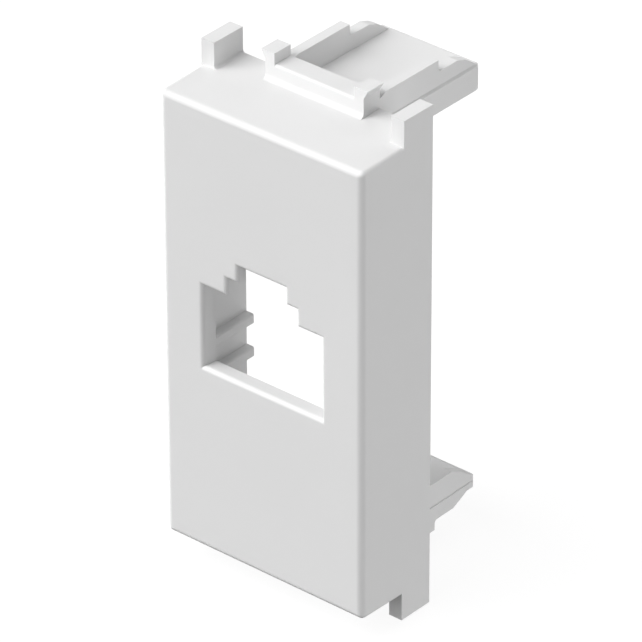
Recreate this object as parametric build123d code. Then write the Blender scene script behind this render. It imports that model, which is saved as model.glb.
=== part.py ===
from build123d import *
import os

# Keystone adapter: a one-module insert for a 45 mm wiring frame, moulded in one piece.
# Millimetres. X runs across the face, +Z is up, and the face looks towards -Y.
# The origin is the centre of the plane where the four stop ears seat on the frame.

# Cap: the front plate and the four walls behind it
FACE_WIDTH = 22.5
FACE_HEIGHT = 45.0
SIDE_DRAFT = 0.06           # how far each side wall leans out by the rear edge
END_DRAFT = 0.21            # the same for the top and bottom walls
CAP_DEPTH = 9.25
SEAT_DEPTH = 5.46           # face to the front of the stop ears
FACE_THICKNESS = 1.75
SIDE_WALL = 1.55
END_WALL = 1.4
FACE_EDGE_RADIUS = 0.6      # round the face
CORNER_EDGE_RADIUS = 0.35   # where two walls meet, from the face to the rear

# Window for the plug: a wide slot with two steps above it for the plug's latch
WINDOW_WIDTH = 13.5
WINDOW_HEIGHT = 8.2
WINDOW_DROP = 3.54          # the window's lower edge is this far under the middle
STEP_WIDTH = 7.9
STEP_HEIGHT = 1.72
NOTCH_WIDTH = 5.35
NOTCH_HEIGHT = 1.67
WINDOW_EDGE_RADIUS = 0.41
LEDGE_FALL = 0.24           # the window's lower side falls this much towards the rear
STEP_THICKNESS = 1.1        # the plate is thinner round the two steps, up to the shelf
RELIEF_SIDE = 1.6           # how far the thinner place reaches beside the steps

# Stop ears, one at each corner
EAR_WIDTH = 1.46
EAR_HEIGHT = 2.5
EAR_ROOT_RADIUS = 0.3

# Guide ribs, two inside each side wall
GUIDE_RIB_DROP = 3.33       # the upper rib's top is this far under the middle
GUIDE_RIB_SPACING = 3.42
GUIDE_RIB_THICKNESS = 1.05
GUIDE_RIB_REACH = 0.85
GUIDE_RIB_RADIUS = 0.2

# Shelves behind the face, above and below the jack
JACK_HEIGHT = 16.1
JACK_CLEARANCE = 0.2
JACK_CENTRE_HEIGHT = 0.95
SHELF_DEPTH = 4.0
SHELF_THICKNESS = 1.4

# Latches, one on the top wall and one on the bottom wall. Their heights are counted
# from the outside of the end wall at its rear edge.
LATCH_HALF_WIDTH = 5.475
RAIL_WIDTH = 1.03
BRIDGE_THICKNESS = 2.14
BRIDGE_RISE = 1.61
BRIDGE_ROOT_RADIUS = 0.5
BRIDGE_EDGE_RADIUS = 0.25
HOOK_RISE = 2.67
HOOK_FLARE = 0.46           # how far the tip of a hook leans out
HOOK_FLARE_HEIGHT = 0.83
RAIL_RISE = 1.31
RAIL_DIP = 0.38             # the rails start this much lower behind the bridge
RAIL_DIP_LENGTH = 0.9
UPPER_RAIL_STEP = 1.12
LOWER_RAIL_STEP = 1.02
STEP_ROOT_RADIUS = 0.35
LOW_RAIL_LENGTH = 2.6       # from the step to the start of the end slope

# Finger tab that joins the rails of a latch
TAB_LENGTH = 13.55          # from the rear edge of the cap to the end of the tab
TAB_OVERLAP = 1.65          # how far the tab starts inside the cap
TAB_DROP = 1.31             # its outer face, counted inwards
TAB_THICKNESS = 0.8
TAB_OVERHANG = 0.075        # the tab stands this far outside the rails
UPPER_RIB_HEIGHT = 1.48
LOWER_RIB_HEIGHT = 1.67
RIB_WIDTH = 1.03
UPPER_RIB_FLARE = 0.23      # the upper ribs lean out this far by their free edge
UPPER_CORNER_RADIUS = 1.0   # corners of the upper tab, seen from above
LOWER_CORNER_RADIUS = 0.6
TAB_EDGE_RADIUS = 0.3
RIB_CORNER_RADIUS = 0.62
GROOVE_WIDTH = 0.32         # groove between tab and rail
GROOVE_DEPTH = 0.13

# End slopes, as (distance before the end of the tab, drop from the low rail) for the
# rails, and (distance before the end, rise from the rib's edge) for the lower tab
UPPER_RAIL_SLOPE = ((3.1, 0.0), (2.0, 0.4), (1.2, 0.92), (0.4, 1.5))
LOWER_RAIL_SLOPE = ((3.1, 0.0), (1.8, 0.58), (1.16, 0.9), (0.0, 0.9))
LOWER_RIB_SLOPE = ((3.4, 0.0), (1.98, 0.7), (1.26, 1.27), (0.38, 1.82), (0.0, 2.04))

SPARE = 1.0                 # how far a cutting shape runs past the solid it cuts
SLACK = 0.02                # for picking an edge by its place

FACE_Y = -SEAT_DEPTH
REAR_Y = FACE_Y + CAP_DEPTH
REAR_WIDTH = FACE_WIDTH + 2 * SIDE_DRAFT
REAR_HEIGHT = FACE_HEIGHT + 2 * END_DRAFT

BRIDGE_FRONT_Y = REAR_Y - BRIDGE_THICKNESS
BRIDGE_TOP = REAR_HEIGHT / 2 + BRIDGE_RISE
HOOK_TOP = REAR_HEIGHT / 2 + HOOK_RISE
RAIL_TOP = REAR_HEIGHT / 2 + RAIL_RISE
TAB_OUTER = REAR_HEIGHT / 2 - TAB_DROP
TAB_INNER = TAB_OUTER - TAB_THICKNESS
UPPER_RIB_EDGE = TAB_INNER - UPPER_RIB_HEIGHT
LOWER_RIB_EDGE = TAB_INNER - LOWER_RIB_HEIGHT
TAB_START_Y = REAR_Y - TAB_OVERLAP
TAB_END_Y = REAR_Y + TAB_LENGTH
TAB_HALF_WIDTH = LATCH_HALF_WIDTH + TAB_OVERHANG


def tapered_block(front_width, front_height, front_y, rear_width, rear_height, rear_y):
    """A block with flat sides that lean out from its front to its rear."""
    lean_x = (rear_width - front_width) / 2
    lean_z = (rear_height - front_height) / 2
    depth = rear_y - front_y
    far_sides = (-lean_x, -lean_z, front_width + lean_x, front_height + lean_z)
    block = Wedge(front_width, depth, front_height, *far_sides)
    return Pos(0, (front_y + rear_y) / 2, 0) * block


def box_between(low, high):
    size = [b - a for a, b in zip(low, high)]
    centre = [(a + b) / 2 for a, b in zip(low, high)]
    return Pos(*centre) * Box(*size)


def front_profile(right, front_y, depth):
    """A solid from the right half of a front view, mirrored to the left and run back."""
    left = [(-x, z) for x, z in reversed(right)]
    plane = Plane(origin=(0, front_y, 0), x_dir=(1, 0, 0), z_dir=(0, -1, 0))
    return extrude(plane * make_face(Polyline(*right, *left, close=True)), -depth)


def side_profile(points, x_low, x_high):
    """A solid between two X planes from a side view given as (y, z)."""
    plane = Plane(origin=(x_low, 0, 0), x_dir=(0, 1, 0), z_dir=(1, 0, 0))
    return extrude(plane * make_face(Polyline(*points, close=True)), x_high - x_low)


def edges_near(shape, test):
    return shape.edges().filter_by(lambda edge: test(edge.center()))


def is_close(a, b):
    return abs(a - b) < SLACK


def side_lean(depth):
    return SIDE_DRAFT * depth / CAP_DEPTH


def end_lean(depth):
    return END_DRAFT * depth / CAP_DEPTH


def make_cap():
    """The drafted box, open at the rear, with its outer edges rounded."""
    block = tapered_block(FACE_WIDTH, FACE_HEIGHT, FACE_Y, REAR_WIDTH, REAR_HEIGHT, REAR_Y)
    corners = edges_near(block, lambda c: not is_close(c.Y, FACE_Y) and not is_close(c.Y, REAR_Y))
    block = fillet(corners, CORNER_EDGE_RADIUS)
    block = fillet(edges_near(block, lambda c: is_close(c.Y, FACE_Y)), FACE_EDGE_RADIUS)
    floor_lean_x = side_lean(FACE_THICKNESS)
    floor_lean_z = end_lean(FACE_THICKNESS)
    past_x = side_lean(CAP_DEPTH + SPARE)
    past_z = end_lean(CAP_DEPTH + SPARE)
    cavity = tapered_block(
        FACE_WIDTH + 2 * floor_lean_x - 2 * SIDE_WALL,
        FACE_HEIGHT + 2 * floor_lean_z - 2 * END_WALL,
        FACE_Y + FACE_THICKNESS,
        FACE_WIDTH + 2 * past_x - 2 * SIDE_WALL,
        FACE_HEIGHT + 2 * past_z - 2 * END_WALL,
        REAR_Y + SPARE,
    )
    return block - cavity


def shelf_height(end):
    """The height of the side of a shelf that faces the jack."""
    return JACK_CENTRE_HEIGHT + end * (JACK_HEIGHT + JACK_CLEARANCE) / 2


def cut_window(cap):
    """Cuts the stepped window, thins the plate behind its steps and rounds its edge."""
    half = WINDOW_WIDTH / 2
    step = STEP_WIDTH / 2
    notch = NOTCH_WIDTH / 2
    bottom = -WINDOW_DROP
    shoulder = bottom + WINDOW_HEIGHT
    step_top = shoulder + STEP_HEIGHT
    notch_top = step_top + NOTCH_HEIGHT
    outline = [
        (half, bottom),
        (half, shoulder),
        (step, shoulder),
        (step, step_top),
        (notch, step_top),
        (notch, notch_top),
    ]
    cap = cap - front_profile(outline, FACE_Y - SPARE, FACE_THICKNESS + 2 * SPARE)
    plate_rear = FACE_Y + FACE_THICKNESS
    fall = [
        (FACE_Y, bottom),
        (plate_rear, bottom - LEDGE_FALL),
        (plate_rear + SPARE, bottom - LEDGE_FALL),
        (plate_rear + SPARE, bottom + SPARE),
        (FACE_Y, bottom + SPARE),
    ]
    cap = cap - side_profile(fall, -half, half)
    cap = cap - box_between(
        (-step - RELIEF_SIDE, FACE_Y + STEP_THICKNESS, shoulder - SPARE),
        (step + RELIEF_SIDE, plate_rear + SPARE, shelf_height(1)),
    )
    rim = edges_near(
        cap,
        lambda c: is_close(c.Y, FACE_Y)
        and abs(c.X) < half + SPARE
        and bottom - SPARE < c.Z < notch_top + SPARE,
    )
    return fillet(rim, WINDOW_EDGE_RADIUS)


def add_ears(cap):
    """The four stop ears: each is the side wall carried on past the end wall."""
    top = REAR_HEIGHT / 2 + EAR_HEIGHT
    slab = tapered_block(FACE_WIDTH, 2 * top, FACE_Y, REAR_WIDTH, 2 * top, REAR_Y)
    inner_x = REAR_WIDTH / 2 - EAR_WIDTH
    root_z = FACE_HEIGHT / 2 - END_WALL / 2
    for side in (-1, 1):
        for end in (-1, 1):
            low_x, high_x = sorted((side * inner_x, side * REAR_WIDTH))
            low_z, high_z = sorted((end * root_z, end * 2 * top))
            corner = box_between((low_x, 0, low_z), (high_x, REAR_Y, high_z))
            cap = cap + (slab & corner)
    seat_height = FACE_HEIGHT / 2 + end_lean(SEAT_DEPTH)
    roots = edges_near(
        cap,
        lambda c: abs(abs(c.X) - inner_x) < EAR_WIDTH / 4
        and seat_height - SLACK < abs(c.Z) < REAR_HEIGHT / 2 + SLACK
        and SLACK < c.Y < REAR_Y - SLACK,
    )
    return fillet(roots, EAR_ROOT_RADIUS)


def guide_rib(side, top):
    """A rib along the inside of a side wall, from the face plate to the rear edge."""
    outer_front = FACE_WIDTH / 2 + side_lean(FACE_THICKNESS) - SIDE_WALL / 2
    outer_rear = REAR_WIDTH / 2 - SIDE_WALL / 2
    reach = SIDE_WALL / 2 + GUIDE_RIB_REACH
    start_y = FACE_Y + FACE_THICKNESS / 2
    corners = [
        (side * outer_front, start_y),
        (side * outer_rear, REAR_Y),
        (side * (outer_rear - reach), REAR_Y),
        (side * (outer_front - reach), start_y),
    ]
    outline = make_face(Polyline(*corners, close=True))
    rib = Pos(0, 0, top - GUIDE_RIB_THICKNESS) * extrude(outline, GUIDE_RIB_THICKNESS)
    nose = edges_near(rib, lambda c: abs(c.X) < outer_front - reach / 2)
    nose = nose.filter_by(lambda edge: edge.length > CAP_DEPTH / 2)
    return fillet(nose, GUIDE_RIB_RADIUS)


def shelf(end):
    """A shelf across the cap, behind the face, that locates the jack above or below."""
    near = shelf_height(end)
    far = near + end * SHELF_THICKNESS
    low_z, high_z = sorted((near, far))
    half_width = FACE_WIDTH / 2 - SIDE_WALL / 2
    front = FACE_Y + FACE_THICKNESS / 2
    back = FACE_Y + FACE_THICKNESS + SHELF_DEPTH
    return box_between((-half_width, front, low_z), (half_width, back, high_z))


def bridge():
    """The cross wall of the upper latch, with a hook at each side that leans out."""
    half = LATCH_HALF_WIDTH
    inner = half - RAIL_WIDTH
    outline = [
        (half, FACE_HEIGHT / 2 - END_WALL / 2),
        (half, HOOK_TOP - HOOK_FLARE_HEIGHT),
        (half + HOOK_FLARE, HOOK_TOP),
        (inner, HOOK_TOP),
        (inner, BRIDGE_TOP),
    ]
    wall = front_profile(outline, BRIDGE_FRONT_Y, BRIDGE_THICKNESS)
    front_top = edges_near(
        wall,
        lambda c: is_close(c.Y, BRIDGE_FRONT_Y) and is_close(c.Z, BRIDGE_TOP) and abs(c.X) < inner,
    )
    return fillet(front_top, BRIDGE_EDGE_RADIUS)


def rail(side, step, slope):
    """A side rail of the upper latch, from the bridge to the end of the tab."""
    low_top = RAIL_TOP - step
    start_y = REAR_Y - BRIDGE_THICKNESS / 2
    step_y = TAB_END_Y - slope[0][0] - LOW_RAIL_LENGTH
    low_z = TAB_OUTER - TAB_THICKNESS / 2
    outline = [
        (start_y, low_z),
        (start_y, RAIL_TOP - RAIL_DIP),
        (REAR_Y, RAIL_TOP - RAIL_DIP),
        (REAR_Y + RAIL_DIP_LENGTH, RAIL_TOP),
        (step_y, RAIL_TOP),
        (step_y, low_top),
        *[(TAB_END_Y - before, low_top - drop) for before, drop in slope],
        (TAB_END_Y - slope[-1][0], low_z),
    ]
    x_low, x_high = sorted((side * LATCH_HALF_WIDTH, side * (LATCH_HALF_WIDTH - RAIL_WIDTH)))
    bar = side_profile(outline, x_low, x_high)
    step_root = edges_near(bar, lambda c: is_close(c.Y, step_y) and is_close(c.Z, low_top))
    return fillet(step_root, STEP_ROOT_RADIUS)


def tab(rib_edge, flare=0.0):
    """A finger tab, drawn as the upper one: a plate with a rib under each side."""
    outline = [
        (TAB_HALF_WIDTH, TAB_OUTER),
        (TAB_HALF_WIDTH + flare, rib_edge),
        (TAB_HALF_WIDTH - RIB_WIDTH, rib_edge),
        (TAB_HALF_WIDTH - RIB_WIDTH, TAB_INNER),
    ]
    return front_profile(outline, TAB_START_Y, TAB_END_Y - TAB_START_Y)


def round_tab_end(plate):
    """Rounds the end of the upper tab: its outer edge and the corners of its ribs."""
    rib_corners = edges_near(
        plate, lambda c: is_close(c.Y, TAB_END_Y) and is_close(c.Z, UPPER_RIB_EDGE)
    )
    plate = fillet(rib_corners, RIB_CORNER_RADIUS)
    outer_edge = edges_near(plate, lambda c: is_close(c.Y, TAB_END_Y) and is_close(c.Z, TAB_OUTER))
    return fillet(outer_edge, TAB_EDGE_RADIUS)


def slope_tab_end(plate):
    """Cuts the ribs of the lower tab away towards its end."""
    slope = [(TAB_END_Y - before, LOWER_RIB_EDGE + rise) for before, rise in LOWER_RIB_SLOPE]
    wedge = [
        (slope[0][0], LOWER_RIB_EDGE - SPARE),
        *slope,
        (TAB_END_Y + SPARE, slope[-1][1]),
        (TAB_END_Y + SPARE, LOWER_RIB_EDGE - SPARE),
    ]
    return plate - side_profile(wedge, -2 * TAB_HALF_WIDTH, 2 * TAB_HALF_WIDTH)


def groove(side):
    """The cutter for the groove along the outside of a latch, between tab and rail."""
    half = GROOVE_WIDTH / 2
    outline = [
        (LATCH_HALF_WIDTH - GROOVE_DEPTH, TAB_OUTER),
        (TAB_HALF_WIDTH, TAB_OUTER + half),
        (TAB_HALF_WIDTH + SPARE, TAB_OUTER + half),
        (TAB_HALF_WIDTH + SPARE, TAB_OUTER - half),
        (TAB_HALF_WIDTH, TAB_OUTER - half),
    ]
    plane = Plane(origin=(0, REAR_Y, 0), x_dir=(1, 0, 0), z_dir=(0, -1, 0))
    section = plane * make_face(Polyline(*[(side * x, z) for x, z in outline], close=True))
    return extrude(section, TAB_LENGTH + SPARE, dir=(0, 1, 0))


def latch(plate, step, slope, corner_radius, flare=0.0):
    """A latch from its tab and rails, drawn upwards; the lower one is turned over."""
    arms = plate + rail(-1, step, slope) + rail(1, step, slope)
    half = TAB_HALF_WIDTH + flare
    plan = box_between((-half, FACE_Y, 0), (half, TAB_END_Y, 2 * HOOK_TOP))
    corners = edges_near(plan, lambda c: is_close(c.Y, TAB_END_Y) and is_close(c.Z, HOOK_TOP))
    arms = arms & fillet(corners, corner_radius)
    return bridge() + (arms - groove(-1) - groove(1))


body = add_ears(cut_window(make_cap()))
for side in (-1, 1):
    for number in range(2):
        body = body + guide_rib(side, -GUIDE_RIB_DROP - number * GUIDE_RIB_SPACING)
for end in (-1, 1):
    body = body + shelf(end)
upper_tab = round_tab_end(tab(UPPER_RIB_EDGE, UPPER_RIB_FLARE))
body = body + latch(
    upper_tab, UPPER_RAIL_STEP, UPPER_RAIL_SLOPE, UPPER_CORNER_RADIUS, UPPER_RIB_FLARE
)
lower_tab = slope_tab_end(tab(LOWER_RIB_EDGE))
lower_latch = latch(lower_tab, LOWER_RAIL_STEP, LOWER_RAIL_SLOPE, LOWER_CORNER_RADIUS)
body = body + lower_latch.mirror(Plane.XY)

foot_height = FACE_HEIGHT / 2 + end_lean(CAP_DEPTH - BRIDGE_THICKNESS)
bridge_feet = edges_near(
    body,
    lambda c: is_close(c.Y, BRIDGE_FRONT_Y)
    and is_close(abs(c.Z), foot_height)
    and abs(c.X) < LATCH_HALF_WIDTH / 2,
)
body = fillet(bridge_feet, BRIDGE_ROOT_RADIUS)

os.makedirs("parts", exist_ok=True)
export_step(body, "parts/adapter_body.step")
print("solids", len(body.solids()), "volume", round(body.volume, 1), "box", body.bounding_box())
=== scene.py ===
import math
import bpy
import bmesh
from mathutils import Matrix, Vector


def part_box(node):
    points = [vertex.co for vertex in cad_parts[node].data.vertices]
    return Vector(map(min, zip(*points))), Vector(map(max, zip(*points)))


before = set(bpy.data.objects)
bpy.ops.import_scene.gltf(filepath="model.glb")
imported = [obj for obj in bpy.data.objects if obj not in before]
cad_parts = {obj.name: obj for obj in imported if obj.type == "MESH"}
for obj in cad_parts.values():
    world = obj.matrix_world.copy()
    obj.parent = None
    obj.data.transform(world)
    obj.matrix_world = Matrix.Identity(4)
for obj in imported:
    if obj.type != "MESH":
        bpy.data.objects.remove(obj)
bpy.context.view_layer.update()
scene = bpy.context.scene


# Camera: the long-lens view of the photograph, from the front right and above.
# The photograph is 642 x 642, and the lens axis meets its middle, so there is no shift.
FOCAL_PIXELS = 6311.4
PHOTO_PIXELS = 642
SENSOR_MM = 36.0
EYE_MM = (303.354, -354.879, 286.529)
MM_PER_METRE = 1000
YAW_DEG = 40.329
PITCH_DEG = 31.433
ROLL_DEG = -0.159
NEAREST_SEEN = 0.01
FARTHEST_SEEN = 20.0

yaw = math.radians(YAW_DEG)
pitch = math.radians(PITCH_DEG)
forward = Vector((
    -math.sin(yaw) * math.cos(pitch),
    math.cos(yaw) * math.cos(pitch),
    -math.sin(pitch),
))
level_right = Vector((math.cos(yaw), math.sin(yaw), 0.0))
right = Matrix.Rotation(-math.radians(ROLL_DEG), 3, forward) @ level_right
up = right.cross(forward)
camera_data = bpy.data.cameras.new("camera")
camera_data.sensor_width = SENSOR_MM
camera_data.sensor_fit = "HORIZONTAL"
camera_data.lens = FOCAL_PIXELS * SENSOR_MM / PHOTO_PIXELS
camera_data.clip_start = NEAREST_SEEN
camera_data.clip_end = FARTHEST_SEEN
camera = bpy.data.objects.new("camera", camera_data)
turn = Matrix((right, up, -forward)).transposed().to_4x4()
camera.matrix_world = Matrix.Translation(Vector(EYE_MM) / MM_PER_METRE) @ turn
scene.collection.objects.link(camera)
scene.camera = camera


# Adapter body: one injection moulding in satin white plastic, with the fine even texture
# that the mould leaves on every face, and slightly uneven colour and gloss where the melt
# cooled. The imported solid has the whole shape, so it stays and takes the plastic.
PLASTIC_PALE = (0.735, 0.735, 0.735, 1)
PLASTIC_DEEP = (0.705, 0.705, 0.705, 1)
FLOW_SCALE = 90            # patches of colour, about 11 mm across
FLOW_DETAIL = 2
GLOSS_SCALE = 700          # patches of gloss, about 1.5 mm across
GLOSS_DETAIL = 3
GLOSS_NOISE_LOW = 0.3      # the part of the noise that carries the change of gloss
GLOSS_NOISE_HIGH = 0.7
ROUGHNESS_LOW = 0.40
ROUGHNESS_HIGH = 0.50
GRAIN_SCALE = 8000         # mould texture, about 0.12 mm from one bump to the next
GRAIN_DETAIL = 2
GRAIN_HEIGHT = 0.000006
GRAIN_STRENGTH = 0.35
MIX_COLOUR_A = 6           # sockets of the Mix node's colours, which share their names
MIX_COLOUR_B = 7
MIX_COLOUR_OUT = 2

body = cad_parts["adapter_body"]
plastic = bpy.data.materials.new("moulded_plastic")
plastic.use_nodes = True
nodes = plastic.node_tree.nodes
links = plastic.node_tree.links
shader = nodes["Principled BSDF"]
place = nodes.new("ShaderNodeTexCoord").outputs["Object"]


def plastic_noise(scale, detail):
    noise = nodes.new("ShaderNodeTexNoise")
    noise.inputs["Scale"].default_value = scale
    noise.inputs["Detail"].default_value = detail
    links.new(place, noise.inputs["Vector"])
    return noise.outputs["Fac"]


flow = nodes.new("ShaderNodeMix")
flow.data_type = "RGBA"
links.new(plastic_noise(FLOW_SCALE, FLOW_DETAIL), flow.inputs["Factor"])
flow.inputs[MIX_COLOUR_A].default_value = PLASTIC_DEEP
flow.inputs[MIX_COLOUR_B].default_value = PLASTIC_PALE
links.new(flow.outputs[MIX_COLOUR_OUT], shader.inputs["Base Color"])

gloss = nodes.new("ShaderNodeMapRange")
links.new(plastic_noise(GLOSS_SCALE, GLOSS_DETAIL), gloss.inputs["Value"])
gloss.inputs["From Min"].default_value = GLOSS_NOISE_LOW
gloss.inputs["From Max"].default_value = GLOSS_NOISE_HIGH
gloss.inputs["To Min"].default_value = ROUGHNESS_LOW
gloss.inputs["To Max"].default_value = ROUGHNESS_HIGH
links.new(gloss.outputs["Result"], shader.inputs["Roughness"])

grain = nodes.new("ShaderNodeBump")
grain.inputs["Strength"].default_value = GRAIN_STRENGTH
grain.inputs["Distance"].default_value = GRAIN_HEIGHT
links.new(plastic_noise(GRAIN_SCALE, GRAIN_DETAIL), grain.inputs["Height"])
links.new(grain.outputs["Normal"], shader.inputs["Normal"])

body.data.materials.clear()
body.data.materials.append(plastic)


# Floor: a sheet of white card under the part, lit from within like a light table, so
# that only a faint shadow shows on it and it throws no light of its own on the part.
FLOOR_HALF = 3.0
FLOOR_COLOUR = (0.12, 0.12, 0.12, 1)
FLOOR_ROUGHNESS = 1.0
FLOOR_GLOW_COLOUR = (1, 1, 1, 1)
FLOOR_GLOW = 0.90

floor_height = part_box("adapter_body")[0].z
floor_mesh = bmesh.new()
bmesh.ops.create_grid(floor_mesh, x_segments=1, y_segments=1, size=FLOOR_HALF)
bmesh.ops.translate(floor_mesh, verts=floor_mesh.verts, vec=(0, 0, floor_height))
floor_data = bpy.data.meshes.new("floor")
floor_mesh.to_mesh(floor_data)
floor_mesh.free()
floor = bpy.data.objects.new("floor", floor_data)
scene.collection.objects.link(floor)
card = bpy.data.materials.new("white_card")
card.use_nodes = True
card_shader = card.node_tree.nodes["Principled BSDF"]
card_shader.inputs["Base Color"].default_value = FLOOR_COLOUR
card_shader.inputs["Roughness"].default_value = FLOOR_ROUGHNESS
card_shader.inputs["Emission Color"].default_value = FLOOR_GLOW_COLOUR
card_shader.inputs["Emission Strength"].default_value = FLOOR_GLOW
floor_data.materials.append(card)
floor.visible_diffuse = False
floor.visible_glossy = False
floor.visible_shadow = False


# Light: large soft panels all round, strongest in front on the left, with weaker ones
# low at the sides and behind for what a white floor throws back. The surround is white
# to the camera only.
PANEL_ANGLE_DEG = 50
# (degrees round from the front towards the right, degrees up, strength)
PANELS = (
    (0, 50, 0.56),
    (330, 50, 2.33),
    (330, 12, 0.75),
    (300, 12, 1.31),
    (225, 12, 0.49),
    (180, 50, 0.64),
    (180, 15, 0.36),
    (90, 12, 1.18),
    (90, -30, 0.56),
    (150, -30, 0.69),
    (270, -30, 0.50),
)
SURROUND_COLOUR = (1, 1, 1, 1)
SURROUND_STRENGTH = 1.0

for number, (round_deg, up_deg, strength) in enumerate(PANELS):
    turn_round, tilt_up = math.radians(round_deg), math.radians(up_deg)
    towards_panel = Vector((
        math.sin(turn_round) * math.cos(tilt_up),
        -math.cos(turn_round) * math.cos(tilt_up),
        math.sin(tilt_up),
    ))
    panel = bpy.data.lights.new(f"panel_{number}", "SUN")
    panel.angle = math.radians(PANEL_ANGLE_DEG)
    panel.energy = strength
    lamp = bpy.data.objects.new(f"panel_{number}", panel)
    lamp.rotation_mode = "QUATERNION"
    lamp.rotation_quaternion = towards_panel.to_track_quat("Z", "Y")
    scene.collection.objects.link(lamp)

surround = bpy.data.worlds.new("surround")
surround.use_nodes = True
backdrop = surround.node_tree.nodes["Background"]
backdrop.inputs["Color"].default_value = SURROUND_COLOUR
backdrop.inputs["Strength"].default_value = SURROUND_STRENGTH
surround.cycles_visibility.diffuse = False
surround.cycles_visibility.glossy = False
scene.world = surround
scene.view_settings.view_transform = "Standard"
